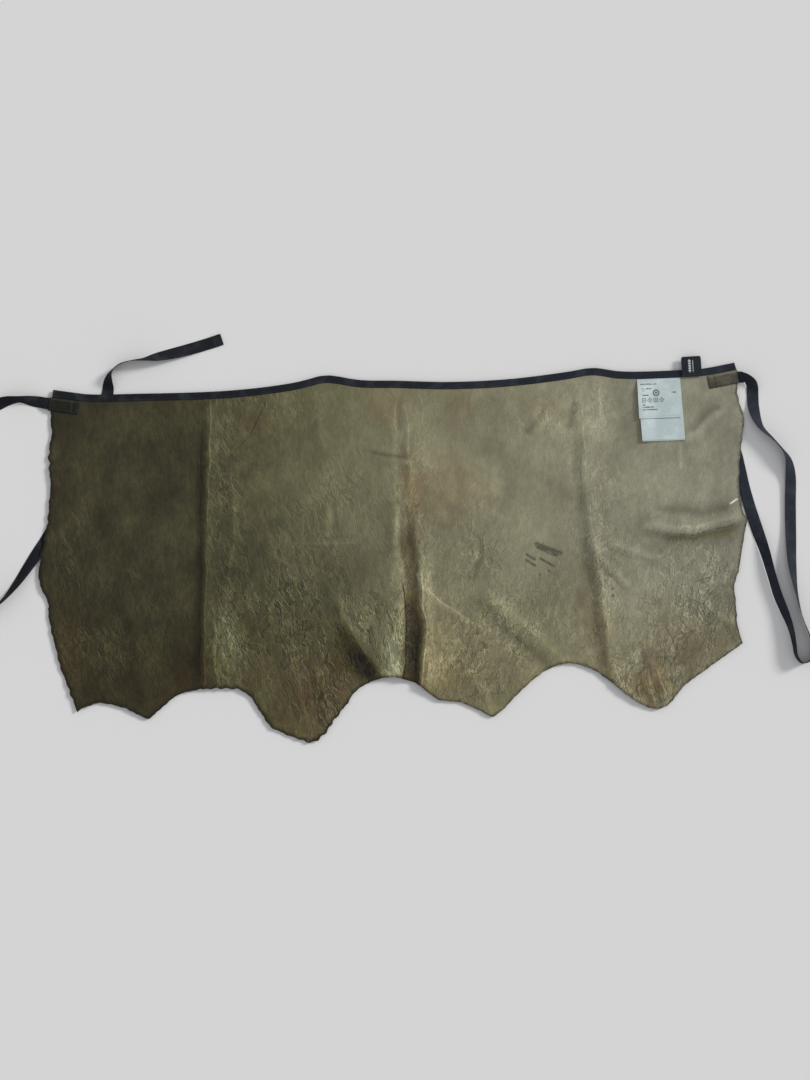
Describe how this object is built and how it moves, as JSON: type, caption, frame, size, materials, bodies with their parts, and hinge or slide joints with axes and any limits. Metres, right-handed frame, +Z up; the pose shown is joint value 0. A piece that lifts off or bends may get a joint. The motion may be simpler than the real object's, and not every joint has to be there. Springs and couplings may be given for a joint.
{
  "type": "welding apron",
  "caption": "Leather waist apron for welding, laid flat inner face up, with a bound waist edge, sewn tape ties, leather tabs and fabric labels.",
  "frame": {"origin": "centre of the laid-out apron's box, without its ties, on the surface it lies on", "axes": "+X along the waist to the end with the labels, +Y from the hem to the waist edge, +Z up from the surface"},
  "size_m": [1.1387, 0.5323, 0.0072],
  "materials": {
    "hide": "soft greased leather, olive brown",
    "dark_leather": "dark smooth leather",
    "navy_tape": "navy black twill tape",
    "white_satin": "white satin label tape",
    "black_woven": "black damask label tape with white weft",
    "dark_thread": "black sewing thread"
  },
  "bodies": {
    "apron": {"hide": "hide", "waist_binding": "navy_tape", "waist_binding_thread": "dark_thread", "left_tab": "dark_leather", "left_tab_thread": "dark_thread", "right_tab": "dark_leather", "right_tab_thread": "dark_thread", "left_tie": "navy_tape", "left_tie_end_thread": "dark_thread", "right_tie": "navy_tape", "right_tie_end_thread": "dark_thread"},
    "care_back": {"care_label_back_leaf": "white_satin"},
    "care_front": {"care_label_front_leaf": "white_satin"},
    "loop": {"loop_label": "black_woven", "loop_label_thread": "dark_thread"}
  },
  "joints": [
    {"name": "care_label_lift", "type": "hinge", "parent": "apron", "child": "care_back", "pos_m": [0.34455, 0.22265, 0.00375], "axis": [-0.9994, -0.0358, 0], "range_deg": [0, 85]},
    {"name": "care_label_page", "type": "hinge", "parent": "care_back", "child": "care_front", "pos_m": [0.34459, 0.22145, 0.00435], "axis": [-0.9994, -0.0358, 0], "range_deg": [0, 85]},
    {"name": "loop_label_flip", "type": "hinge", "parent": "apron", "child": "loop", "pos_m": [0.38732, 0.22482, 0.0057], "axis": [0.999, 0.0437, 0], "range_deg": [0, 170]}
  ]
}
